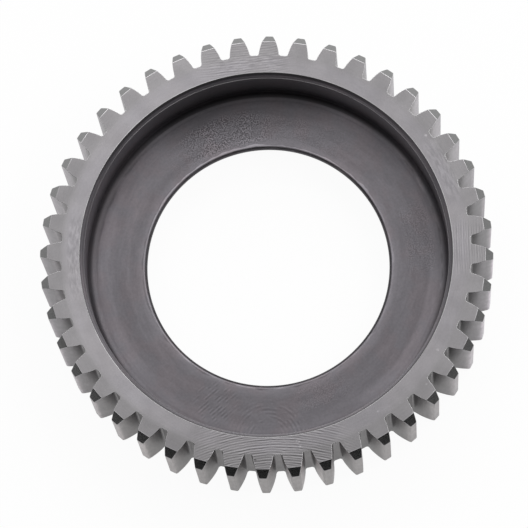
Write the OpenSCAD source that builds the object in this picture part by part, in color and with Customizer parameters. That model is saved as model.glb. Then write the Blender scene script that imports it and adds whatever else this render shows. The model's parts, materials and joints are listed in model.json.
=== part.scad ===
// Spur gear of a rotary hammer: a one-piece steel ring with external teeth, a deep recess in
// its front face and a thin web that carries a large central bore.
// Millimetres. The gear lies on its rear face, its axis is Z and the recess opens upwards.
// The origin is on the axis, in the plane of the rear face. Tooth number one is centred on +X.

/* [Teeth] */
// Number of teeth
teeth = 44; // [40:1:60]
// Module: pitch diameter divided by the number of teeth
tooth_module = 1.25; // [1.1:0.05:1.5]
// Pressure angle in degrees
pressure_angle = 20; // [18:0.5:24]
// Height of a tooth above the pitch circle, in modules
addendum = 1; // [0.8:0.05:1.1]
// Depth of a tooth space below the pitch circle, in modules
dedendum = 1.25; // [1.15:0.05:1.35]
// Thinning of each tooth along the pitch circle, for running clearance
backlash = 0.02; // [0:0.01:0.1]
// Radius at the foot of each flank
root_fillet = 0.33; // [0.25:0.01:0.4]

/* [Rim] */
// Width of the toothed rim from face to face
face_width = 12.1; // [11:0.1:20]
// Thickness of the rim between the roots of the teeth and the recess wall
rim_t = 2.8; // [1.5:0.1:5]
// Height of the front tip chamfer, across the teeth
tip_chamfer_h = 1; // [0.2:0.1:2]
// Length of the front tip chamfer, along the axis
tip_chamfer_l = 1.15; // [0.2:0.05:3]
// Edge break at the rear end of the tooth tips
rear_tip_break = 0.2; // [0.05:0.05:1]

/* [Front recess] */
// Depth of the recess from the front face to the web
recess_depth = 7.5; // [3:0.1:8.5]
// Radius between the recess wall and the web
recess_fillet = 1.2; // [0.2:0.1:1.6]
// Growth in radius of the steep lead-in at the mouth
lead_in_h = 0.28; // [0.05:0.01:0.6]
// Depth of the steep lead-in
lead_in_l = 0.65; // [0.2:0.05:1]
// Size of the bevel between the lead-in and the wall
lead_in_bevel = 0.24; // [0.05:0.01:0.5]

/* [Web and bore] */
// Thickness of the web
web_t = 2; // [1.8:0.1:3.2]
// Diameter of the bore
bore_d = 31.1; // [20:0.1:40]
// Radius of the rounded front edge of the bore
bore_round = 0.6; // [0.1:0.05:0.85]
// Bevel at the rear end of the bore
bore_rear_bevel = 1.1; // [0.2:0.1:1.3]

/* [Rear recess] */
// Radius between the rear recess wall and the web
rear_fillet = 0.8; // [0.2:0.1:1.2]
// Edge break at the mouth of the rear recess
rear_mouth_break = 0.3; // [0.1:0.05:0.6]

/* [Hidden] */

steel_colour = [0.62, 0.61, 0.63];

pitch_r = teeth * tooth_module / 2;
base_r = pitch_r * cos(pressure_angle);
tip_r = pitch_r + addendum * tooth_module;
root_r = pitch_r - dedendum * tooth_module;
wall_r = root_r - rim_t;
bore_r = bore_d / 2;
web_top = face_width - recess_depth;
web_bottom = web_top - web_t;

// How far the tooth outline stands past the blank that trims it
trim = 0.25;
// Straight steps along one flank, one foot radius, and one edge or recess radius
flank_steps = 6;
foot_steps = 3;
round_steps = 6;
// Steps around the whole ring
ring_steps = 264;

// Angle in degrees that an involute turns through at pressure angle a
function involute_angle(a) = tan(a) * 180 / PI - a;

// Pressure angle of the flank at radius r
function flank_angle(r) = acos(base_r / r);

// Half of the angle that a tooth takes up where its flank has pressure angle a
function half_tooth(a) = 90 / teeth - backlash / 2 / pitch_r * 180 / PI
    + involute_angle(pressure_angle) - involute_angle(a);

function polar(r, a) = r * [cos(a), sin(a)];

// Points on an arc about c from angle a1 to a2
function arc(c, r, a1, a2, steps) = [for (i = [0:steps]) c + polar(r, a1 + (a2 - a1) * i / steps)];

// The foot radius touches the root circle and the flank, and its centre lies on the flank's normal
foot_angle = acos(base_r / (root_r + root_fillet));
foot_start = atan((sqrt(pow(root_r + root_fillet, 2) - base_r * base_r) - root_fillet) / base_r);
foot_turn = half_tooth(foot_start) - foot_start;
foot_centre = polar(root_r + root_fillet, foot_turn + foot_angle);
tip_angle = flank_angle(tip_r + trim);

// One side of a tooth, from its tip down its flank and round its foot to the root circle
flank = [for (i = [0:flank_steps - 1])
    let (a = tip_angle + (foot_start - tip_angle) * i / flank_steps)
    polar(base_r / cos(a), half_tooth(a))];
foot = arc(foot_centre, root_fillet, foot_turn - 90, foot_turn + foot_angle - 180, foot_steps);
tooth_side = concat(flank, foot);

function across(points) = [for (i = [len(points) - 1:-1:0]) [points[i].x, -points[i].y]];
function turned(points, a) = [for (p = points) [p.x * cos(a) - p.y * sin(a), p.x * sin(a) + p.y * cos(a)]];

// All teeth and the spaces between them
module tooth_outline() {
    tooth = concat(across(tooth_side), tooth_side);
    polygon([for (k = [0:teeth - 1]) each turned(tooth, 360 * k / teeth)]);
}

// Half section of the blank, radius across and height up
module blank_section() {
    rear_edge = [
        [wall_r + rear_mouth_break, 0],
        [tip_r - rear_tip_break, 0],
        [tip_r, rear_tip_break]
    ];
    front_edge = [
        [tip_r, face_width - tip_chamfer_l],
        [tip_r - tip_chamfer_h, face_width]
    ];
    mouth = [
        [wall_r + lead_in_bevel + lead_in_h, face_width],
        [wall_r + lead_in_bevel, face_width - lead_in_l],
        [wall_r, face_width - lead_in_l - lead_in_bevel]
    ];
    recess_corner = arc([wall_r - recess_fillet, web_top + recess_fillet], recess_fillet, 0, -90, round_steps);
    bore_front = arc([bore_r + bore_round, web_top - bore_round], bore_round, 90, 180, round_steps);
    bore_rear = [
        [bore_r, web_bottom + bore_rear_bevel],
        [bore_r + bore_rear_bevel, web_bottom]
    ];
    rear_corner = arc([wall_r - rear_fillet, web_bottom - rear_fillet], rear_fillet, 90, 0, round_steps);
    rear_mouth = [[wall_r, rear_mouth_break]];
    polygon(concat(rear_edge, front_edge, mouth, recess_corner, bore_front, bore_rear, rear_corner, rear_mouth));
}

// The turned blank, trimmed to the tooth outline
module ring_gear() {
    color(steel_colour)
    intersection() {
        rotate_extrude($fn = ring_steps) blank_section();
        translate([0, 0, -trim]) linear_extrude(face_width + 2 * trim) tooth_outline();
    }
}

ring_gear();
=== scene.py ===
import json
import math

import bmesh
import bpy
from mathutils import Matrix, Vector


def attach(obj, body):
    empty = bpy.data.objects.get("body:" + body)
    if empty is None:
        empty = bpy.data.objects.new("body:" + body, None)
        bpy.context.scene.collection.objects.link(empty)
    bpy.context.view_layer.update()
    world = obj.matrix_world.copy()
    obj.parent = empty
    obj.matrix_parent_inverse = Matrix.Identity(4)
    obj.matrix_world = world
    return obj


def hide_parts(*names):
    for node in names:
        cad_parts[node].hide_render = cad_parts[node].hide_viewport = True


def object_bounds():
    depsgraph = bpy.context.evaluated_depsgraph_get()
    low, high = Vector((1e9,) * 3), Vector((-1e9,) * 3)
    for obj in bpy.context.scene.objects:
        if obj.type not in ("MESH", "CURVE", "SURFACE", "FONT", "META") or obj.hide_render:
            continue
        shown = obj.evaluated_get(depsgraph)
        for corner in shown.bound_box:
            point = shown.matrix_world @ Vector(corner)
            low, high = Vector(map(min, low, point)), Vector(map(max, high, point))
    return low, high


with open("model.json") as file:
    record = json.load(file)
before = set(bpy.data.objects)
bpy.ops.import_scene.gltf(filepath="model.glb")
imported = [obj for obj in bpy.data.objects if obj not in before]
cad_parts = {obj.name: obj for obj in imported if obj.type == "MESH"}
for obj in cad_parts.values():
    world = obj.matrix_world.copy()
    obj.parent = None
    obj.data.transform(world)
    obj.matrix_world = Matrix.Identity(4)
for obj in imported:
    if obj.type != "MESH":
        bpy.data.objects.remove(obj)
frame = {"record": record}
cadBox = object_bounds()
mounts = {mount["name"]: mount for mount in frame["record"]["mounts"]}

mm = 0.001
frontPlane = cadBox[1].z     # height of the front face
tipRadius = cadBox[1].x      # a tooth is centred on +X


# Camera

cameraView = {
    "tilt": 12.98,              # degrees between the line of sight and the gear's axis
    "turn": 2.615,              # degrees round the gear, from a view along +Y
    "roll": -10.234,
    "frame": 528,               # pixels along a side of the square picture
    "focalLength": 4188,        # pixels
    "centre": (265.84, 252.90), # pixel where the middle of the front face lies
    "tipReach": 227.33,         # pixels from there to the tooth tips, unforeshortened
    "sensor": 36,               # millimetres
}


def addCamera():
    metresPerPixel = tipRadius / cameraView["tipReach"]
    data = bpy.data.cameras.new("photoCamera")
    data.sensor_width = cameraView["sensor"]
    data.lens = cameraView["focalLength"] / cameraView["frame"] * cameraView["sensor"]
    data.clip_start, data.clip_end = 0.01, 20
    turned = (
        Matrix.Rotation(math.radians(cameraView["turn"]), 4, "Z")
        @ Matrix.Rotation(math.radians(cameraView["tilt"]), 4, "X")
        @ Matrix.Rotation(math.radians(cameraView["roll"]), 4, "Z")
    )
    across = cameraView["centre"][0] - cameraView["frame"] / 2
    down = cameraView["centre"][1] - cameraView["frame"] / 2
    toGear = Vector((across, -down, -cameraView["focalLength"])) * metresPerPixel
    place = Vector((0, 0, frontPlane)) - turned.to_3x3() @ toGear
    cam = bpy.data.objects.new("photoCamera", data)
    cam.matrix_world = Matrix.Translation(place) @ turned
    bpy.context.scene.collection.objects.link(cam)
    bpy.context.scene.camera = cam


# Gear

gear = {
    "teeth": 44,
    "module": 1.25 * mm,
    "pressureAngle": 20,          # degrees
    "dedendum": 1.25,             # modules
    "backlash": 0.02 * mm,
    "footRadius": 0.33 * mm,
    "tipRound": 0.15 * mm,        # where the flanks meet the top of a tooth
    "chamfer": (1.0 * mm, 1.15 * mm),      # across the teeth and along the axis
    "rearTipBreak": (0.2 * mm, 0.2 * mm),
    "leadIn": (0.28 * mm, 0.65 * mm),      # growth in radius and depth
    "leadInBevel": 0.24 * mm,
    "recessDepth": 7.5 * mm,
    "recessFillet": 1.2 * mm,
    "webThickness": 2.0 * mm,
    "boreRound": 0.6 * mm,
    "boreRearBevel": 1.1 * mm,
    "rearFillet": 0.8 * mm,
    "rearMouthBreak": 0.3 * mm,
    "edgeBreak": 0.048 * mm,
    "mouthBreak": 0.07 * mm,
    "sharpFrom": 32,              # degrees, edges sharper than this are broken
    "flankSteps": 10,
    "footSteps": 5,
    "tipSteps": 4,
    "roundSteps": 8,
    "stepsPerTooth": 8,
}
pitchRadius = gear["teeth"] * gear["module"] / 2
rootRadius = pitchRadius - gear["dedendum"] * gear["module"]
baseRadius = pitchRadius * math.cos(math.radians(gear["pressureAngle"]))
wallRadius = mounts["front_recess"]["dims"]["r_mm"] * mm
boreRadius = mounts["bore"]["dims"]["r_mm"] * mm
mouthRadius = wallRadius + gear["leadInBevel"] + gear["leadIn"][0]
webTop = frontPlane - gear["recessDepth"]
webBottom = webTop - gear["webThickness"]
halfPitch = math.pi / gear["teeth"]
faceSlot, toothSlot, recessSlot, edgeSlot = range(4)      # material slots
samePlace = 0.01 * mm


def polar(radius, angle):
    return Vector((radius * math.cos(angle), radius * math.sin(angle)))


# Points on an arc between two angles.
def arcPoints(centre, radius, first, last, steps):
    return [Vector(centre) + polar(radius, first + (last - first) * i / steps) for i in range(steps + 1)]


# Half of the angle that a tooth takes up where its flank has this pressure angle.
def halfTooth(pressure):
    standard = math.radians(gear["pressureAngle"])
    opened = math.tan(standard) - standard - math.tan(pressure) + pressure
    return halfPitch / 2 - gear["backlash"] / 2 / pitchRadius + opened


# Circle that touches the flank where its centre lies this far out, on the outer side (1) or inside
# the tooth (-1): its centre, its angle, and the flank's pressure angle and turn where they touch.
def touchFlank(reach, radius, side):
    along = math.sqrt(reach ** 2 - baseRadius ** 2) - side * radius
    pressure = math.atan(along / baseRadius)
    turn = halfTooth(pressure) - pressure
    angle = turn + math.acos(baseRadius / reach)
    return polar(reach, angle), angle, pressure, turn


# Points of one tooth side: round its tip, down the involute and round the foot to the root.
def toothSide():
    tipRound, footRadius = gear["tipRound"], gear["footRadius"]
    tipCentre, tipAngle, tipPressure, tipTurn = touchFlank(tipRadius - tipRound, tipRound, -1)
    footCentre, footAngle, footPressure, footTurn = touchFlank(rootRadius + footRadius, footRadius, 1)
    side = arcPoints(tipCentre, tipRound, tipAngle, tipTurn + math.pi / 2, gear["tipSteps"])
    for i in range(1, gear["flankSteps"]):
        pressure = tipPressure + (footPressure - tipPressure) * i / gear["flankSteps"]
        side.append(polar(baseRadius / math.cos(pressure), halfTooth(pressure)))
    side += arcPoints(footCentre, footRadius, footTurn - math.pi / 2, footAngle - math.pi, gear["footSteps"])
    return side


def mirrored(points):
    return [Vector((p.x, -p.y)) for p in reversed(points)]


# One tooth with half a space on each side and the rim behind it, open where it meets the rest.
def toothSector():
    side = toothSide()
    outline = [polar(rootRadius, -halfPitch)] + mirrored(side) + [polar(tipRadius, 0)]
    outline += side + [polar(rootRadius, halfPitch)]
    for i in range(gear["stepsPerTooth"] + 1):
        outline.append(polar(mouthRadius, halfPitch - 2 * halfPitch * i / gear["stepsPerTooth"]))
    bm = bmesh.new()
    rear = bm.faces.new([bm.verts.new((p.x, p.y, 0)) for p in outline])
    grown = bmesh.ops.extrude_face_region(bm, geom=[rear])
    lifted = [v for v in grown["geom"] if isinstance(v, bmesh.types.BMVert)]
    bmesh.ops.translate(bm, verts=lifted, vec=(0, 0, frontPlane))

    across, along = gear["chamfer"]
    trimTip(bm, (tipRadius - across, 0, frontPlane), (along, 0, across))
    across, along = gear["rearTipBreak"]
    trimTip(bm, (tipRadius - across, 0, 0), (along, 0, -across))

    joins = [f for f in bm.faces if abs(f.normal.z) < 0.01 and isJoin(f)]
    bmesh.ops.delete(bm, geom=joins, context="FACES")
    return bm


def trimTip(bm, place, outwards):
    everything = bm.verts[:] + bm.edges[:] + bm.faces[:]
    cut = bmesh.ops.bisect_plane(
        bm, geom=everything, dist=1e-8, plane_co=place, plane_no=outwards, clear_outer=True
    )
    rim = [e for e in cut["geom_cut"] if isinstance(e, bmesh.types.BMEdge)]
    bmesh.ops.contextual_create(bm, geom=rim)


# True for a wall of the sector that lies inside the finished gear.
def isJoin(face):
    middle = face.calc_center_median()
    if middle.xy.length < mouthRadius + samePlace:
        return True
    return abs(abs(math.atan2(middle.y, middle.x)) - halfPitch) < 1e-4


# Half section of everything inside the toothed rim, as radius and height.
def turnedSection():
    growth, depth = gear["leadIn"]
    fillet, rearFillet = gear["recessFillet"], gear["rearFillet"]
    boreRound, bevel = gear["boreRound"], gear["boreRearBevel"]
    quarter, steps = math.pi / 2, gear["roundSteps"]
    section = [
        Vector((mouthRadius, frontPlane)),
        Vector((mouthRadius - growth, frontPlane - depth)),
        Vector((wallRadius, frontPlane - depth - gear["leadInBevel"])),
    ]
    section += arcPoints((wallRadius - fillet, webTop + fillet), fillet, 0, -quarter, steps)
    section += arcPoints(
        (boreRadius + boreRound, webTop - boreRound), boreRound, quarter, 2 * quarter, steps
    )
    section += [Vector((boreRadius, webBottom + bevel)), Vector((boreRadius + bevel, webBottom))]
    section += arcPoints(
        (wallRadius - rearFillet, webBottom - rearFillet), rearFillet, quarter, 0, steps
    )
    section += [
        Vector((wallRadius, gear["rearMouthBreak"])),
        Vector((wallRadius + gear["rearMouthBreak"], 0)),
        Vector((mouthRadius, 0)),
    ]
    return section


def buildGear():
    bm = toothSector()
    whole = bm.verts[:] + bm.edges[:] + bm.faces[:]
    bmesh.ops.spin(
        bm, geom=whole, cent=(0, 0, 0), axis=(0, 0, 1), dvec=(0, 0, 0),
        angle=2 * math.pi * (gear["teeth"] - 1) / gear["teeth"], steps=gear["teeth"] - 1,
        use_duplicate=True,
    )

    start = Matrix.Rotation(-halfPitch, 3, "Z")
    drawn = [bm.verts.new(start @ Vector((p.x, 0, p.y))) for p in turnedSection()]
    line = [bm.edges.new(pair) for pair in zip(drawn, drawn[1:])]
    bmesh.ops.spin(
        bm, geom=drawn + line, cent=(0, 0, 0), axis=(0, 0, 1), dvec=(0, 0, 0),
        angle=2 * math.pi, steps=gear["teeth"] * gear["stepsPerTooth"], use_merge=True,
    )
    bmesh.ops.remove_doubles(bm, verts=bm.verts[:], dist=1e-3 * mm)
    bmesh.ops.recalc_face_normals(bm, faces=bm.faces[:])

    sharpAngle = math.radians(gear["sharpFrom"])
    sharp = [e for e in bm.edges if e.is_manifold and e.calc_face_angle(0) > sharpAngle]
    mouth = [e for e in sharp if all(abs(v.co.xy.length - mouthRadius) < samePlace for v in e.verts)]
    others = [e for e in sharp if e not in mouth]
    for edges, size in ((mouth, gear["mouthBreak"]), (others, gear["edgeBreak"])):
        bevel = bmesh.ops.bevel(
            bm, geom=edges, offset=size, offset_type="OFFSET", affect="EDGES",
            segments=2, profile=0.5, material=-1, clamp_overlap=True,
        )
        for face in bevel["faces"]:
            face.material_index = edgeSlot
    for face in bm.faces:
        face.smooth = True
        if face.material_index != edgeSlot:
            face.material_index = finishOf(face)

    mesh = bpy.data.meshes.new("ringGear")
    bm.to_mesh(mesh)
    openEdges = sum(not e.is_manifold for e in bm.edges)
    print("gear", len(mesh.polygons), "faces,", openEdges, "open edges")
    bm.free()
    piece = bpy.data.objects.new("ringGear", mesh)
    bpy.context.scene.collection.objects.link(piece)
    for finish in (turnedSteel(), toothSteel(), recessSteel(), edgeSteel()):
        mesh.materials.append(finish)
    print("finishes set")
    weighted = piece.modifiers.new("flatFaces", "WEIGHTED_NORMAL")
    weighted.keep_sharp = True
    return piece


def finishOf(face):
    radius = face.calc_center_median().xy.length
    if radius < mouthRadius - 2 * samePlace:
        return recessSlot
    if abs(face.normal.z) > 0.5:
        return faceSlot
    return toothSlot


# Finishes

# Noise: its detail, and the values between which it goes from the low tone to the high one
grain = {
    "cloudDetail": 3.0,
    "cloudSpan": (0.27, 0.73),
    "streakSpan": (0.28, 0.72),
    "markSpan": (0.3, 0.7),                   # hob marks and pits
    "chatterSize": 0.8 * mm,
    "chatterSpan": (0.42, 0.6),
}


def newFinish(name, roughness):
    material = bpy.data.materials.new(name)
    material.use_nodes = True
    shader = material.node_tree.nodes["Principled BSDF"]
    shader.inputs["Metallic"].default_value = 1
    shader.inputs["Roughness"].default_value = roughness
    return material, material.node_tree, shader


# Adds a node, sets its options, and links or sets its inputs.
def addNode(tree, kind, inputs, **options):
    made = tree.nodes.new("ShaderNode" + kind)
    for option, value in options.items():
        setattr(made, option, value)
    for name, value in inputs.items():
        if isinstance(value, bpy.types.NodeSocket):
            tree.links.new(value, made.inputs[name])
        else:
            made.inputs[name].default_value = value
    return made


def calc(tree, operation, *values):
    return addNode(tree, "Math", dict(enumerate(values)), operation=operation).outputs[0]


# Maps one range of a value to another, flat outside it and smooth at its ends.
def fade(tree, value, first, last, low=0.0, high=1.0):
    inputs = {"Value": value, "From Min": first, "From Max": last, "To Min": low, "To Max": high}
    return addNode(tree, "MapRange", inputs, interpolation_type="SMOOTHSTEP").outputs[0]


def mixColour(tree, share, first, second):
    made = addNode(tree, "Mix", {0: share}, data_type="RGBA")
    for place, colour in ((6, first), (7, second)):
        if isinstance(colour, bpy.types.NodeSocket):
            tree.links.new(colour, made.inputs[place])
        else:
            made.inputs[place].default_value = (*colour, 1)
    return made.outputs[2]


# Multiplies a colour by a grey value.
def shade(tree, colour, value):
    return addNode(tree, "VectorMath", {0: colour, 3: value}, operation="SCALE").outputs[0]


# Colour after every tone is laid over it.
def shadeAll(tree, colour, tones):
    for tone in tones:
        colour = shade(tree, colour, tone)
    return colour


def noise(tree, point, size, detail=2.0):
    made = addNode(tree, "TexNoise", {"Vector": point, "Scale": 1 / size, "Detail": detail})
    return made.outputs["Fac"]


# Sum of several values.
def total(tree, values):
    result = values[0]
    for value in values[1:]:
        result = calc(tree, "ADD", result, value)
    return result


# Point on the gear with its radius and height, in metres.
def placeOnGear(tree):
    point = addNode(tree, "TexCoord", {}).outputs["Object"]
    parts = addNode(tree, "SeparateXYZ", {"Vector": point}).outputs
    flat = addNode(tree, "CombineXYZ", {"X": parts["X"], "Y": parts["Y"]}).outputs[0]
    radius = addNode(tree, "VectorMath", {0: flat}, operation="LENGTH").outputs["Value"]
    return {"point": point, "flat": flat, "radius": radius, "height": parts["Z"]}


# 1 towards one side of the gear, falling to 0 at this many degrees from it.
def towards(tree, place, azimuth, halfWidth, fullShare=0.35):
    turn = math.radians(azimuth)
    side = (math.cos(turn), math.sin(turn), 0)
    along = addNode(tree, "VectorMath", {0: place["flat"], 1: side}, operation="DOT_PRODUCT")
    share = calc(tree, "DIVIDE", along.outputs["Value"], place["radius"])
    edge, full = math.radians(halfWidth), math.radians(halfWidth * fullShare)
    return fade(tree, share, math.cos(edge), math.cos(full))


# Fades between two heights in millimetres above the web.
def byHeight(tree, place, low, high, first=0.0, last=1.0):
    return fade(tree, place["height"], webTop + low * mm, webTop + high * mm, first, last)


# As much as asked for within one place, and 0 outside it.
def patch(tree, place, azimuth, halfWidth, inner, outer, strength, fullShare=0.6):
    middle, reach = (inner + outer) / 2 * mm, (outer - inner) / 2 * mm
    off = calc(tree, "ABSOLUTE", calc(tree, "SUBTRACT", place["radius"], middle))
    band = fade(tree, off, reach * fullShare, reach, strength, 0.0)
    return calc(tree, "MULTIPLY", band, towards(tree, place, azimuth, halfWidth))


def lightAndShadeTones(tree, place, lightAndShadeSpots):
    return [calc(tree, "ADD", patch(tree, place, *spot), 1.0) for spot in lightAndShadeSpots]


# Distance from a point given by its radius in millimetres and its degrees round the gear.
def distanceFrom(tree, place, radius, azimuth):
    spot = polar(radius * mm, math.radians(azimuth))
    gap = addNode(tree, "VectorMath", {0: place["flat"], 1: (spot.x, spot.y, 0)}, operation="DISTANCE")
    return gap.outputs["Value"]


# Long faint streaks along the turning marks, between two shares of the colour.
def streaks(tree, place, width, length, low, high):
    around = addNode(tree, "VectorMath", {0: place["flat"]}, operation="NORMALIZE").outputs[0]
    around = shade(tree, around, pitchRadius / length)
    outwards = addNode(tree, "CombineXYZ", {"Z": calc(tree, "DIVIDE", place["radius"], width)}).outputs[0]
    point = addNode(tree, "VectorMath", {0: around, 1: outwards}, operation="ADD").outputs[0]
    return fade(tree, noise(tree, point, 1.0), *grain["streakSpan"], low, high)


# Cloudy grain, between two shares of the colour.
def cloud(tree, place, size, low, high):
    grey = noise(tree, place["point"], size, grain["cloudDetail"])
    return fade(tree, grey, *grain["cloudSpan"], low, high)


# In every finish a spot is painted light where it is lighter and painted shade where it is darker:
# degrees round the gear, half width, the radii in millimetres between which it lies, and the share by
# which the colour changes. Clouds have a size and two shares of the colour, and streaks a width, a
# length and two shares.
turnedFinish = {
    "roughness": 0.27,
    "faceDepth": (0.1 * mm, 0.05 * mm),       # the face's finish ends between these depths
    "ring": (0.2985, 0.287, 0.3035),          # front face round the recess
    "ringWarm": (0.3, 0.287, 0.2985),
    "warmPatches": 5 * mm,
    "teeth": (0.2835, 0.274, 0.282),          # front face out on the teeth
    "teethFrom": (25.0 * mm, 26.2 * mm),
    "chamfer": (0.242, 0.242, 0.242),
    "clouds": ((3.0 * mm, 0.935, 1.065), (0.22 * mm, 0.97, 1.03)),
    "chamferClouds": (0.3 * mm, 0.97, 1.03),
    "streaks": (0.2 * mm, 2.5 * mm, 0.98, 1.02),
    # Painted light and painted shade on the faces, by side of the gear
    "faceLightAndShade": (
        (270, 80, 20, 30, -0.12), (60, 60, 20, 30, -0.06), (165, 60, 20, 30, -0.05),
        (180, 75, 25.4, 30, -0.13), (270, 70, 25.4, 30, -0.07), (272, 40, 20, 30, -0.07),
        (305, 32, 20, 30, 0.08), (212, 27, 20, 30, 0.08),
    ),
    # Painted highlights and painted shade on the tip chamfers, by side of the gear
    "chamferLightAndShade": (
        (78, 60, 20, 32, 0.05), (258, 30, 20, 32, -0.25), (316, 22, 20, 32, -0.18),
        (205, 25, 20, 32, 0.08), (182, 20, 20, 32, -0.12),
    ),
    "rubbed": ((173, 16, 23.6, 25.4, 0.16), (88, 14, 23.9, 26.6, 0.14), (18, 12, 23.9, 26.4, 0.14)),
    "rubStreaks": (0.25 * mm, 1.1 * mm, -1.0, 1.0),
    # Radius in millimetres, degrees round the gear, size in millimetres, and how dark it is
    "knocks": (
        (25.35, 29.3, 0.12, -0.5), (26.3, 20.9, 0.14, 0.35), (26.53, 12.6, 0.22, 0.2),
        (26.15, 44.9, 0.08, 0.7), (26.6, -100.2, 0.1, 0.8), (24.6, -88.0, 0.3, -0.45),
        (25.2, -87.6, 0.14, -0.4), (25.06, -37.8, 0.12, -0.35), (24.85, -62.8, 0.1, -0.45),
        (26.4, -47.6, 0.12, -0.3),
    ),
}
# Cutter marks on the front face: grooves in the bump, and a painted sheen in their tone, laid only at
# the places where the light catches them. A place is given by degrees round the gear, half width,
# strength, and the radius in millimetres at which the middle of its arcs lies. A wave has a share of the
# height, how far it wanders, and how close its arcs lie.
cutterMarks = {
    "places": ((-95.5, 25, 1.3, 50), (89, 16, 0.5, 140), (-6, 9, 0.45, 140)),
    "pitch": 0.32 * mm,
    "waves": ((0.7, 7.0, 1.0), (0.3, -5.0, 0.63)),
    "wander": 1.8 * mm,
    "worn": (0.9 * mm, 0.35, 1.35),
    "tone": 0.42,
    "slope": 0.0022 * mm,
}
# Shape of a knock: its ring against its size, the waves in that ring, the thickness of its line, and
# the breaks in it
knockShape = {
    "ring": 1.25,
    "waveDepth": 1.2,
    "waveSize": 0.35 * mm,
    "line": (0.04 * mm, 0.13 * mm),
    "breakSize": 0.25 * mm,
    "breakTone": 0.3,
}


def cutterRelief(tree, place):
    wander = noise(tree, place["point"], cutterMarks["wander"])
    heights = []
    for azimuth, halfWidth, strength, middle in cutterMarks["places"]:
        across = distanceFrom(tree, place, middle, azimuth)
        across = calc(tree, "MULTIPLY", across, 2 * math.pi / cutterMarks["pitch"])
        waves = []
        for share, wandering, closeness in cutterMarks["waves"]:
            phase = calc(tree, "MULTIPLY", across, closeness)
            wave = calc(tree, "SINE", calc(tree, "MULTIPLY_ADD", wander, wandering, phase))
            waves.append(calc(tree, "MULTIPLY", wave, share * strength))
        heights.append(calc(tree, "MULTIPLY", total(tree, waves), towards(tree, place, azimuth, halfWidth)))
    return total(tree, heights)


# Ragged ring of a small knock, 0 away from it.
def knockMark(tree, place, radius, azimuth, size):
    gap = distanceFrom(tree, place, radius, azimuth)
    waves = noise(tree, place["point"], knockShape["waveSize"])
    ragged = calc(tree, "MULTIPLY_ADD", waves, size * knockShape["waveDepth"] * mm, gap)
    off = calc(tree, "ABSOLUTE", calc(tree, "SUBTRACT", ragged, size * knockShape["ring"] * mm))
    breaks = noise(tree, place["point"], knockShape["breakSize"])
    breaks = fade(tree, breaks, 0.4, 0.6, knockShape["breakTone"], 1.0)
    return calc(tree, "MULTIPLY", fade(tree, off, *knockShape["line"], 1.0, 0.0), breaks)


# Front and rear faces, and the chamfers at the tips of the teeth.
def turnedSteel():
    look = turnedFinish
    material, tree, shader = newFinish("turnedSteel", look["roughness"])
    place = placeOnGear(tree)
    deep, shallow = look["faceDepth"]
    frontFace = fade(tree, place["height"], frontPlane - deep, frontPlane - shallow)
    rearFace = fade(tree, place["height"], shallow, deep, 1.0, 0.0)
    relief = calc(tree, "MULTIPLY", cutterRelief(tree, place), frontFace)
    relief = calc(tree, "MULTIPLY", relief, cloud(tree, place, *cutterMarks["worn"]))

    warm = cloud(tree, place, look["warmPatches"], 0.0, 1.0)
    face = mixColour(tree, warm, look["ring"], look["ringWarm"])
    face = mixColour(tree, fade(tree, place["radius"], *look["teethFrom"]), face, look["teeth"])
    rubbed = total(tree, [patch(tree, place, *spot) for spot in look["rubbed"]])
    # Painted sheen along the cutter marks
    tones = [calc(tree, "MULTIPLY_ADD", relief, cutterMarks["tone"], 1.0)]
    tones += [cloud(tree, place, *clouds) for clouds in look["clouds"]]
    tones += [calc(tree, "MULTIPLY_ADD", streaks(tree, place, *look["rubStreaks"]), rubbed, 1.0)]
    tones += [streaks(tree, place, *look["streaks"])]
    face = shadeAll(tree, face, tones + lightAndShadeTones(tree, place, look["faceLightAndShade"]))

    tones = [cloud(tree, place, *look["chamferClouds"])]
    chamfer = shadeAll(tree, look["chamfer"], tones + lightAndShadeTones(tree, place, look["chamferLightAndShade"]))
    colour = mixColour(tree, calc(tree, "MAXIMUM", frontFace, rearFace), chamfer, face)
    for radius, azimuth, size, dark in look["knocks"]:
        struck = knockMark(tree, place, radius, azimuth, size)
        colour = shade(tree, colour, calc(tree, "MULTIPLY_ADD", struck, -dark, 1.0))
    tree.links.new(colour, shader.inputs["Base Color"])
    bump = addNode(tree, "Bump", {"Height": relief, "Distance": cutterMarks["slope"], "Strength": 1.0})
    tree.links.new(bump.outputs[0], shader.inputs["Normal"])
    return material


edgeFinish = {
    "roughness": 0.25,
    "colour": (0.42, 0.41, 0.42),
    "clouds": (2.2 * mm, 0.85, 1.1),
    # Painted highlights and painted shade on the edges, by side of the gear
    "lightAndShadeSpots": (
        (118, 32, 23, 24.2, 0.3), (170, 45, 23, 24.2, -0.4), (270, 80, 23, 24.2, -0.45),
        (90, 85, 23.2, 23.7, -0.7), (175, 35, 24.5, 28.5, -0.25), (350, 45, 27, 28.5, -0.25),
        (265, 70, 28.3, 30, -0.5),
    ),
}


# Broken edges, rubbed bright, with painted highlights and painted shade at places round the gear.
def edgeSteel():
    look = edgeFinish
    material, tree, shader = newFinish("edgeSteel", look["roughness"])
    place = placeOnGear(tree)
    tones = [cloud(tree, place, *look["clouds"])] + lightAndShadeTones(tree, place, look["lightAndShadeSpots"])
    tree.links.new(shadeAll(tree, look["colour"], tones), shader.inputs["Base Color"])
    return material


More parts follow.
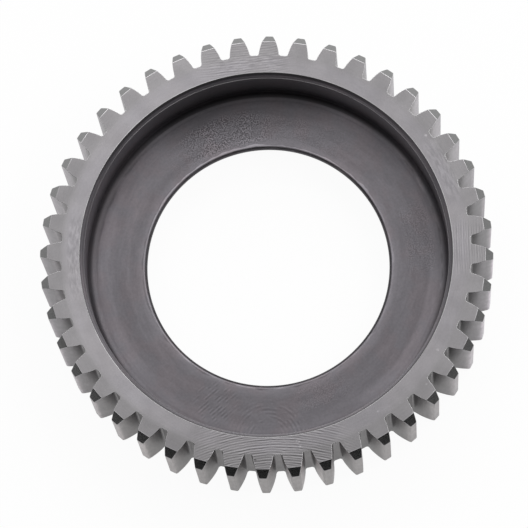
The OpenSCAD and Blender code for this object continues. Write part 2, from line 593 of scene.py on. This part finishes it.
toothFinish = {
    "roughness": 0.3,
    "flank": (0.213, 0.1965, 0.213),
    "flankWarm": (0.212, 0.1965, 0.195),
    "warmSide": (-97, 75),                    # degrees round the gear, and half width
    # Darker towards the roots of the teeth: painted shade in the gaps
    "foot": (0.134, 0.1235, 0.127),
    "footTo": (26.1 * mm, 27.8 * mm),
    # Painted highlight on the tops of the teeth: the radii where it starts, and its share
    "topHighlightFrom": (28.0 * mm, 28.6 * mm),
    "topHighlight": 1.5,
    "frontEnd": (3.5 * mm, 0.8 * mm),         # depths between which the flanks darken
    "frontTone": 0.88,
    "hobSize": 0.28 * mm,
    "hobStretch": 0.18,                       # of the marks, along the axis
    "hobTone": (0.87, 1.11),
    "hobSlope": 0.006 * mm,
    "clouds": (1.8 * mm, 0.88, 1.08),
    # Painted light and painted shade on the flanks and tops, by side of the gear
    "lightAndShadeSpots": (
        (273, 11, 26.7, 28.5, 1.6), (322, 30, 25, 28.4, -0.2), (36, 20, 25, 28.6, 0.55),
        (150, 18, 26.7, 28.6, 0.4), (172, 20, 25, 27.4, 0.8), (212, 34, 28.4, 30, 0.65),
        (340, 26, 28.4, 30, 0.6), (272, 40, 28.4, 30, -0.1), (343, 20, 25, 27, -0.1),
        (348, 16, 28.4, 30, 0.3), (0, 14, 25, 28.6, -0.4), (327, 14, 25, 27, -0.25),
    ),
}


# Flanks and tops of the teeth, and the spaces between them.
def toothSteel():
    look = toothFinish
    material, tree, shader = newFinish("toothSteel", look["roughness"])
    place = placeOnGear(tree)
    colour = mixColour(tree, towards(tree, place, *look["warmSide"]), look["flank"], look["flankWarm"])
    # Painted shade towards the roots of the teeth
    colour = mixColour(tree, fade(tree, place["radius"], *look["footTo"]), look["foot"], colour)
    stretch = (1, 1, look["hobStretch"])
    stretched = addNode(tree, "VectorMath", {0: place["point"], 1: stretch}, operation="MULTIPLY").outputs[0]
    hobbed = fade(tree, noise(tree, stretched, look["hobSize"]), *grain["markSpan"], *look["hobTone"])
    deep, shallow = look["frontEnd"]
    tones = [
        fade(tree, place["radius"], *look["topHighlightFrom"], 1.0, look["topHighlight"]),
        hobbed,
        fade(tree, place["height"], frontPlane - deep, frontPlane - shallow, 1.0, look["frontTone"]),
        cloud(tree, place, *look["clouds"]),
    ]
    tones += lightAndShadeTones(tree, place, look["lightAndShadeSpots"])
    tree.links.new(shadeAll(tree, colour, tones), shader.inputs["Base Color"])
    bump = addNode(tree, "Bump", {"Height": hobbed, "Distance": look["hobSlope"], "Strength": 1.0})
    tree.links.new(bump.outputs[0], shader.inputs["Normal"])
    return material


recessFinish = {
    "roughness": 0.45,
    "colour": (0.124, 0.1175, 0.128),
    "warm": (0.129, 0.1175, 0.127),
    "warmPatches": 3.0 * mm,
    "warmSpan": (0.42, 0.62),                 # noise values between which it warms
    "clouds": (0.3 * mm, 0.95, 1.05),
    "turning": (0.28 * mm, 3.0 * mm, 0.97, 1.03),
    "streaks": (0.9 * mm, 5.0 * mm, 0.95, 1.05),
    "slope": 0.006 * mm,
    # Painted highlights and painted shade from the bore out to the mouth, lighter on the bore's round
    # and on the bevel above the wall, darker on the bore wall and in the fillet: radius in millimetres and
    # share of the colour
    "radiusShadeAndHighlight": (
        (15.6, 0.6), (15.82, 0.62), (15.93, 1.52), (16.1, 1.26), (16.6, 1.12), (17.3, 1.0),
        (20.0, 1.04), (21.3, 1.12), (21.75, 1.11), (21.95, 0.98), (22.1, 0.78), (22.35, 0.51),
        (22.6, 0.49), (22.85, 0.58), (23.1, 0.95), (23.2, 1.95), (23.36, 1.8), (23.5, 1.0),
    ),
    # Tones by height: millimetres above the web between which they change, and the two shares. The
    # recess wall is darker higher up with painted shade, and the bore just under its round is lighter with a
    # painted highlight.
    "upperWallShade": (1.5, 3.5, 1.0, 0.86),
    "boreWallHighlight": (-0.75, -0.6, 2.2, 1.0),
    "frontTone": (-1.3, -1.1, 0.0, 1.0),      # the rear recess stays plain
    # Shade on the web, at the top of the photo
    "shadeSide": (91, 38),
    "shadeRadii": (17.2 * mm, 22.6 * mm),
    "shadeDepth": -0.46,
    "shadeHeight": (0.5, 1.7, 1.0, 0.25),
    # Painted shade in the fillet under the rim, towards +Y
    "underRimShade": (90, 62, 22.3, 23.0, -0.52),
    # Painted light and painted shade at places round the bore, web, wall and lead-in
    "lightAndShadeSpots": (
        (90, 75, 15.7, 16.1, 0.5), (200, 100, 15.7, 16.2, -0.25), (20, 60, 15.7, 16.1, 0.25),
        (120, 45, 15.7, 16.1, 0.2), (290, 70, 15.7, 16.1, -0.3), (145, 45, 17.4, 22.4, 0.18),
        (45, 40, 16.8, 22.2, 0.1), (185, 35, 18.0, 20.0, -0.1), (185, 48, 20.0, 23.2, 0.15),
        (270, 70, 16, 22, -0.07), (325, 35, 20.4, 23.2, 0.27), (150, 28, 21.8, 23.2, -0.25),
        (10, 40, 22.2, 23.2, 0.4), (45, 35, 23.1, 23.38, 0.3), (182, 45, 23.35, 23.9, 1.12),
        (150, 35, 23.1, 23.9, -0.3), (95, 55, 23.1, 23.8, -0.12), (80, 62, 23.38, 23.9, -0.33),
        (0, 40, 23.05, 23.4, -0.2), (25, 36, 23.4, 23.9, 0.3), (285, 70, 23.1, 23.6, 0.35),
    ),
    "spotWaves": (2.4 * mm, 0.9 * mm),        # size and depth of the waves in a spot's border
    "spotWavesTo": (0.3, 1.0),                # heights in millimetres where these end
    # Pitted places on the web, given as the spots are
    "pitted": (
        (100, 20, 15.9, 21.2, 0.85), (88, 48, 16, 20.5, 0.3), (285, 14, 16, 20, 0.3),
        (3, 17, 17.5, 22, 0.36),
    ),
    "pitSize": 0.17 * mm,
    "pitTone": (-0.45, 0.5),
    "pitPatches": 1.5 * mm,
    "pitPatchSpan": (0.34, 0.56, 0.35, 1.0),  # noise values, and strength of the pits there
    "pitHeight": (0.3, 0.8, 1.0, 0.0),
}
# Tool chatter on the web: its middle as radius in millimetres and degrees round the gear, the
# distances from there between which it fades in and out, its wave length and its depth
ripples = {
    "middle": (22.6, -97.3),
    "reach": (1.5, 2.6, 4.4, 5.8),
    "length": 0.5,
    "depth": 0.15,
}
slantMarks = {
    "middle": (19.1, -118),
    "reach": (-2.0, -1.0, 1.8, 3.4),
    "length": 0.42,
    "depth": 0.22,
    "across": (0.55, -0.83, 0),               # direction in which the waves follow each other
}


# Painted highlights and painted shade in the recess by radius, as a colour ramp.
def radiusShadeAndHighlight(tree, place):
    table = recessFinish["radiusShadeAndHighlight"]
    first, last = table[0][0] * mm, table[-1][0] * mm
    share = addNode(tree, "MapRange", {"Value": place["radius"], "From Min": first, "From Max": last})
    ramp = addNode(tree, "ValToRGB", {"Fac": share.outputs[0]})
    stops = ramp.color_ramp.elements
    while len(stops) < len(table):
        stops.new(0.5)
    brightest = max(tone for radius, tone in table)
    for stop, (radius, tone) in zip(stops, table):
        stop.position = (radius * mm - first) / (last - first)
        stop.color = (tone / brightest,) * 3 + (1,)
    return calc(tree, "MULTIPLY", ramp.outputs["Color"], brightest)


# Fine light and dark pits in patches on the web.
def pitting(tree, place):
    look = recessFinish
    pits = noise(tree, place["point"], look["pitSize"], 0.0)
    pits = fade(tree, pits, *grain["markSpan"], *look["pitTone"])
    places = total(tree, [patch(tree, place, *spot) for spot in look["pitted"]])
    patchy = fade(tree, noise(tree, place["point"], look["pitPatches"]), *look["pitPatchSpan"])
    onWeb = byHeight(tree, place, *look["pitHeight"])
    for share in (patchy, onWeb, places):
        pits = calc(tree, "MULTIPLY", pits, share)
    return calc(tree, "ADD", pits, 1.0)


# Wave of tool chatter, seen between the distances that its reach gives and broken up by noise.
def chatter(tree, place, across, marks):
    start, near, far, end = [distance * mm for distance in marks["reach"]]
    wave = calc(tree, "SINE", calc(tree, "MULTIPLY", across, 2 * math.pi / (marks["length"] * mm)))
    gap = distanceFrom(tree, place, *marks["middle"])
    depth = fade(tree, gap, far, end, marks["depth"], 0.0)
    reach = calc(tree, "MULTIPLY", fade(tree, gap, start, near), depth)
    broken = fade(tree, noise(tree, place["point"], grain["chatterSize"]), *grain["chatterSpan"])
    return calc(tree, "MULTIPLY_ADD", calc(tree, "MULTIPLY", wave, broken), reach, 1.0)


# Recesses, web and bore.
def recessSteel():
    look = recessFinish
    material, tree, shader = newFinish("recessSteel", look["roughness"])
    place = placeOnGear(tree)
    patches = fade(tree, noise(tree, place["point"], look["warmPatches"]), *look["warmSpan"])
    colour = mixColour(tree, patches, look["colour"], look["warm"])
    pits = pitting(tree, place)
    turning = streaks(tree, place, *look["turning"])
    rings = distanceFrom(tree, place, *ripples["middle"])
    slant = addNode(tree, "VectorMath", {0: place["flat"], 1: slantMarks["across"]}, operation="DOT_PRODUCT")
    shadow = calc(
        tree, "MULTIPLY", fade(tree, place["radius"], *look["shadeRadii"], 0.0, look["shadeDepth"]),
        byHeight(tree, place, *look["shadeHeight"]),
    )
    tones = [
        radiusShadeAndHighlight(tree, place), pits, turning,
        byHeight(tree, place, *look["upperWallShade"]),
        byHeight(tree, place, *look["boreWallHighlight"]),
        chatter(tree, place, rings, ripples),
        chatter(tree, place, slant.outputs["Value"], slantMarks),
        cloud(tree, place, *look["clouds"]),
        calc(tree, "MULTIPLY_ADD", shadow, towards(tree, place, *look["shadeSide"]), 1.0),
        streaks(tree, place, *look["streaks"]),
    ]
    tones += lightAndShadeTones(tree, place, [look["underRimShade"]])

    waveSize, waveDepth = look["spotWaves"]
    wave = calc(tree, "SUBTRACT", noise(tree, place["point"], waveSize), 0.5)
    wave = calc(tree, "MULTIPLY", wave, byHeight(tree, place, *look["spotWavesTo"], waveDepth, 0.0))
    ragged = dict(place, radius=calc(tree, "ADD", place["radius"], wave))
    tones += lightAndShadeTones(tree, ragged, look["lightAndShadeSpots"])
    front = byHeight(tree, place, *look["frontTone"])
    colour = mixColour(tree, front, shade(tree, colour, turning), shadeAll(tree, colour, tones))
    tree.links.new(colour, shader.inputs["Base Color"])
    relief = calc(tree, "ADD", pits, turning)
    bump = addNode(tree, "Bump", {"Height": relief, "Distance": look["slope"], "Strength": 1.0})
    tree.links.new(bump.outputs[0], shader.inputs["Normal"])
    return material


# Stage and lights

studio = {
    "floor": 3.0,            # metres along a side
    "floorDrop": 0.02 * mm,  # below the gear's rear face
    "floorColour": 0.88,
    "floorGlow": 0.95,       # share of the floor that stays white to the eye
    "floorMirror": 0.48,     # and in polished metal
    "worldFill": 0.4,        # what the surroundings add to the floor's light
}
# Cards round the gear that only polished metal sees: distance in metres, then degrees and brightness.
# They stand upright, and a dome bends over the gear.
cards = {
    "frontCard": {"distance": 0.1, "azimuth": (176, 312), "elevation": (-7, 38), "glow": 0.0},
    "cornerCard": {"distance": 0.12, "azimuth": (312, 345), "elevation": (-9, 14), "glow": 0.12},
    "leftCard": {"distance": 0.12, "azimuth": (140, 205), "elevation": (-12, 3), "glow": 0.1},
    "rightCard": {"distance": 0.12, "azimuth": (345, 395), "elevation": (-9, 5), "glow": 0.25},
    "overheadCard": {"distance": 0.9, "azimuth": (0, 360), "elevation": (52, 90), "glow": 0.9, "dome": True},
}
cardSteps = {"rise": 8, "round": 48}
softboxes = {      # degrees, metres, and brightness against white
    "topSoftbox": {"azimuth": 150, "elevation": 65, "distance": 0.6, "size": (0.6, 0.3), "glow": 0.55},
    "backSoftbox": {"azimuth": 75, "elevation": 43, "distance": 0.6, "size": (1.0, 0.3), "glow": 3.0},
    "rightSoftbox": {"azimuth": 0, "elevation": 50, "distance": 0.6, "size": (0.3, 0.3), "glow": 3.0},
}


def addFloor():
    bm = bmesh.new()
    bmesh.ops.create_grid(bm, x_segments=1, y_segments=1, size=studio["floor"] / 2)
    mesh = bpy.data.meshes.new("floor")
    bm.to_mesh(mesh)
    bm.free()
    floor = bpy.data.objects.new("floor", mesh)
    floor.location.z = -studio["floorDrop"]
    bpy.context.scene.collection.objects.link(floor)
    mesh.materials.append(floorFinish())


# White to the eye, and matt for all other light, so that it takes the gear's shadow.
def floorFinish():
    material = bpy.data.materials.new("paleFloor")
    material.use_nodes = True
    tree = material.node_tree
    tree.nodes.clear()
    matt = addNode(tree, "BsdfDiffuse", {"Color": (studio["floorColour"],) * 3 + (1,)})
    glow = addNode(tree, "Emission", {"Strength": 1})
    path = addNode(tree, "LightPath", {}).outputs
    clear = calc(tree, "MAXIMUM", path["Is Camera Ray"], path["Is Transmission Ray"])
    white = calc(tree, "MULTIPLY", clear, studio["floorGlow"])
    white = calc(tree, "MULTIPLY_ADD", path["Is Glossy Ray"], studio["floorMirror"], white)
    mix = addNode(tree, "MixShader", {0: white, 1: matt.outputs[0], 2: glow.outputs[0]})
    addNode(tree, "OutputMaterial", {"Surface": mix.outputs[0]})
    material.cycles.emission_sampling = "NONE"
    return material


def addCard(name):
    card = cards[name]
    low, high = card["elevation"]
    first, last = card["azimuth"]
    bm = bmesh.new()
    start = Matrix.Rotation(math.radians(first), 3, "Z")
    arc = []
    for i in range(cardSteps["rise"] + 1):
        rise = math.radians(low + (high - low) * i / cardSteps["rise"])
        if "dome" in card:
            place = Vector((math.cos(rise), 0, math.sin(rise))) * card["distance"]
        else:
            place = Vector((1, 0, math.tan(rise))) * card["distance"]
        arc.append(bm.verts.new(start @ (place + Vector((0, 0, frontPlane)))))
    line = [bm.edges.new(pair) for pair in zip(arc, arc[1:])]
    bmesh.ops.spin(
        bm, geom=arc + line, cent=(0, 0, 0), axis=(0, 0, 1), dvec=(0, 0, 0),
        angle=math.radians(last - first), steps=cardSteps["round"],
    )
    mesh = bpy.data.meshes.new(name)
    bm.to_mesh(mesh)
    bm.free()
    panel = bpy.data.objects.new(name, mesh)
    bpy.context.scene.collection.objects.link(panel)
    mesh.materials.append(cardFinish(name, card["glow"]))
    panel.visible_camera = panel.visible_shadow = panel.visible_diffuse = False


def cardFinish(name, brightness):
    material = bpy.data.materials.new(name)
    material.use_nodes = True
    shader = material.node_tree.nodes["Principled BSDF"]
    shader.inputs["Base Color"].default_value = (0, 0, 0, 1)
    shader.inputs["Specular IOR Level"].default_value = 0
    shader.inputs["Emission Color"].default_value = (1, 1, 1, 1)
    shader.inputs["Emission Strength"].default_value = brightness
    material.cycles.emission_sampling = "NONE"
    return material


# White to the eye, straight or in a polished or clear surface, and a weaker fill for other light.
def addWorld():
    world = bpy.data.worlds.new("studio")
    bpy.context.scene.world = world
    world.use_nodes = True
    tree = world.node_tree
    path = addNode(tree, "LightPath", {}).outputs
    seen = calc(tree, "MAXIMUM", path["Is Camera Ray"], path["Is Glossy Ray"])
    seen = calc(tree, "MAXIMUM", seen, path["Is Transmission Ray"])
    strength = addNode(tree, "MapRange", {"Value": seen, "To Min": studio["worldFill"], "To Max": 1})
    background = tree.nodes["Background"]
    background.inputs["Color"].default_value = (1, 1, 1, 1)
    tree.links.new(strength.outputs[0], background.inputs["Strength"])
    world.cycles.sampling_method = "NONE"


def addSoftbox(name):
    box = softboxes[name]
    width, height = box["size"]
    data = bpy.data.lights.new(name, "AREA")
    data.shape = "RECTANGLE"
    data.size, data.size_y = width, height
    data.energy = box["glow"] * math.pi * width * height
    azimuth, elevation = math.radians(box["azimuth"]), math.radians(box["elevation"])
    flat = math.cos(elevation)
    back = Vector((flat * math.cos(azimuth), flat * math.sin(azimuth), math.sin(elevation)))
    light = bpy.data.objects.new(name, data)
    light.location = back * box["distance"]
    light.rotation_euler = back.to_track_quat("Z", "Y").to_euler()
    bpy.context.scene.collection.objects.link(light)


addCamera()
print("camera set")
ringGear = buildGear()
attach(ringGear, "root")
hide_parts("ring_gear")
addFloor()
for name in cards:
    addCard(name)
addWorld()
for name in softboxes:
    addSoftbox(name)
bpy.context.scene.view_settings.view_transform = "Standard"
print("stage and lights set")
